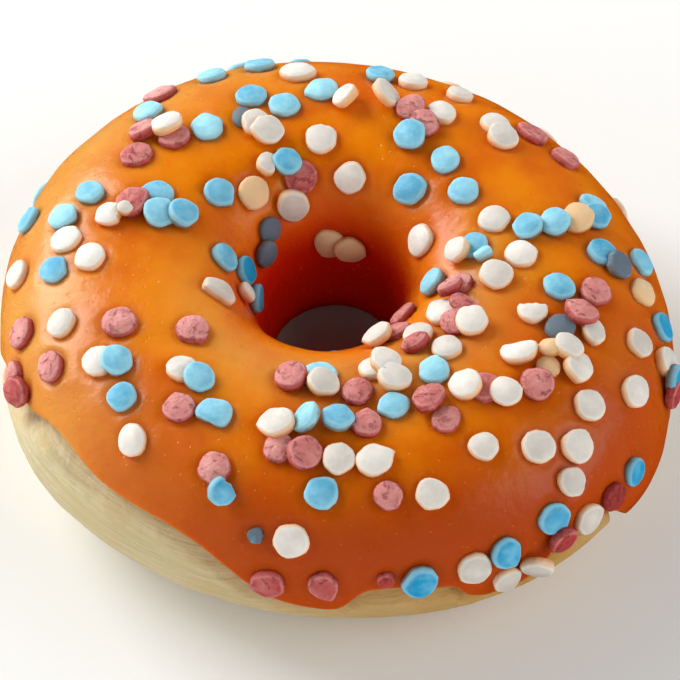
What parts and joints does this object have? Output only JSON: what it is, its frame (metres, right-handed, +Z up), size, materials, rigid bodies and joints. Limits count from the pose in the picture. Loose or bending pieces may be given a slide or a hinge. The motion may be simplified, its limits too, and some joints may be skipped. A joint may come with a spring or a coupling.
{
  "type": "sprinkle frosted doughnut",
  "caption": "Round yeast ring doughnut with a hole, orange icing over its top that drips in lobes down the side, and flat round sprinkles.",
  "frame": {"origin": "middle of the flat base, on the surface the doughnut rests on", "axes": "+Z is up through the hole; the bare side of the dough faces -X and -Y, the longest drip faces +X and -Y"},
  "size_m": [0.0906, 0.0911, 0.0313],
  "materials": {
    "dough": "matte fried dough, pale cream with fine streaks round the ring",
    "icing": "satin gloss orange icing",
    "sprinkles_blue": "matte sugar, sky blue",
    "sprinkles_white": "matte sugar, off white",
    "sprinkles_pink": "crumbly matte sugar, dusty rose"
  },
  "bodies": {
    "root": {"dough": "dough", "icing": "icing"}
  },
  "joints": []
}
